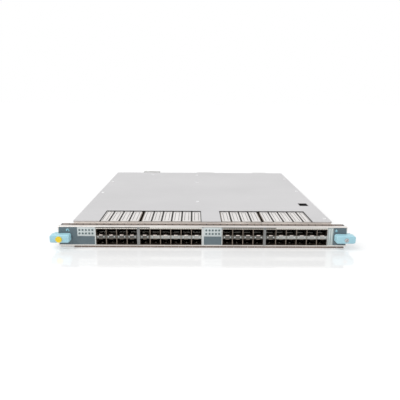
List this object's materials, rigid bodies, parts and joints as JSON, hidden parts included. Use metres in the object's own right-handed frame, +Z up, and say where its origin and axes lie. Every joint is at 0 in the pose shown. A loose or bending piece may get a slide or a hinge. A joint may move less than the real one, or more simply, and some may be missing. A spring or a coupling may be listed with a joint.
{
  "type": "switch line card",
  "caption": "Flat chassis card with two rows of pluggable optical ports, ejector levers, a cover with windows over the port cages, and backplane plugs at the rear.",
  "frame": {"origin": "middle of the card's whole length and width, on the plane that the tray rests on", "axes": "+X along the panel to the right seen from the front, +Y from the panel back into the card, +Z up"},
  "size_m": [0.4156, 0.4462, 0.0333],
  "materials": {
    "bare_steel": "nickel-plated sheet steel",
    "cover_zinc": "light grey passivated sheet",
    "slate_film": "slate printed polycarbonate film",
    "pale_film": "pale printed plate",
    "clear_plastic": "clear moulded acrylic",
    "cage_nickel": "nickel-plated stamped sheet",
    "black_plastic": "black moulded liquid-crystal polymer",
    "spring_copper": "beryllium copper strip",
    "screw_steel": "zinc-plated steel",
    "board_green": "glass-epoxy circuit board",
    "chip_black": "moulded epoxy package",
    "sink_aluminium": "anodised aluminium",
    "lever_blue": "light-blue moulded nylon",
    "cap_yellow": "yellow moulded plastic"
  },
  "bodies": {
    "card": {"front_panel": "bare_steel", "face_film": "slate_film", "id_plate": "pale_film", "led_plates": "pale_film", "light_guides": "clear_plastic", "port_light_pipes": "clear_plastic", "top_gasket": "spring_copper", "tray": "bare_steel", "cover": "cover_zinc", "cover_screws": "screw_steel", "cover_posts_and_nuts": "screw_steel", "main_board": "board_green", "board_standoffs": "screw_steel", "board_screws": "screw_steel", "signal_plug_left": "black_plastic", "signal_plug_middle": "black_plastic", "power_plug": "black_plastic", "guide_socket": "black_plastic", "switch_chips": "chip_black", "switch_heat_sinks": "sink_aluminium", "fabric_chip": "chip_black", "fabric_heat_sink": "sink_aluminium", "line_chips": "chip_black", "memory_chips": "chip_black", "control_module": "board_green", "power_bricks": "chip_black", "capacitors": "sink_aluminium", "service_header": "black_plastic", "lever_brackets": "bare_steel", "pivot_pins": "screw_steel", "lock_nuts": "screw_steel", "quad_cage_left_shell": "cage_nickel", "quad_cage_left_floor": "cage_nickel", "quad_cage_left_dividers": "cage_nickel", "quad_cage_left_bars": "cage_nickel", "quad_cage_left_sockets": "black_plastic", "hex_cage_left_shell": "cage_nickel", "hex_cage_left_floor": "cage_nickel", "hex_cage_left_dividers": "cage_nickel", "hex_cage_left_bars": "cage_nickel", "hex_cage_left_sockets": "black_plastic", "quad_cage_right_shell": "cage_nickel", "quad_cage_right_floor": "cage_nickel", "quad_cage_right_dividers": "cage_nickel", "quad_cage_right_bars": "cage_nickel", "quad_cage_right_sockets": "black_plastic", "hex_cage_right_shell": "cage_nickel", "hex_cage_right_floor": "cage_nickel", "hex_cage_right_dividers": "cage_nickel", "hex_cage_right_bars": "cage_nickel", "hex_cage_right_sockets": "black_plastic"},
    "lever_left": {"lever_left": "lever_blue"},
    "lever_right": {"lever_right": "lever_blue"},
    "captive_screw_left": {"captive_screw_left": "screw_steel", "screw_clip_left": "screw_steel", "screw_cap_left": "cap_yellow"},
    "captive_screw_right": {"captive_screw_right": "screw_steel", "screw_clip_right": "screw_steel"}
  },
  "joints": [
    {"name": "lever_left_swing", "type": "hinge", "parent": "card", "child": "lever_left", "pos_m": [-0.1955, -0.20033, 0.0158], "axis": [0, 0, -1], "range_deg": [0, 60]},
    {"name": "lever_right_swing", "type": "hinge", "parent": "card", "child": "lever_right", "pos_m": [0.1955, -0.20033, 0.0158], "axis": [0, 0, 1], "range_deg": [0, 60]},
    {"name": "captive_screw_left_turn", "type": "hinge", "parent": "lever_left", "child": "captive_screw_left", "pos_m": [-0.1954, -0.22193, 0.0154], "axis": [0, -1, 0], "continuous": true},
    {"name": "captive_screw_right_turn", "type": "hinge", "parent": "lever_right", "child": "captive_screw_right", "pos_m": [0.1954, -0.22193, 0.0154], "axis": [0, -1, 0], "continuous": true}
  ]
}
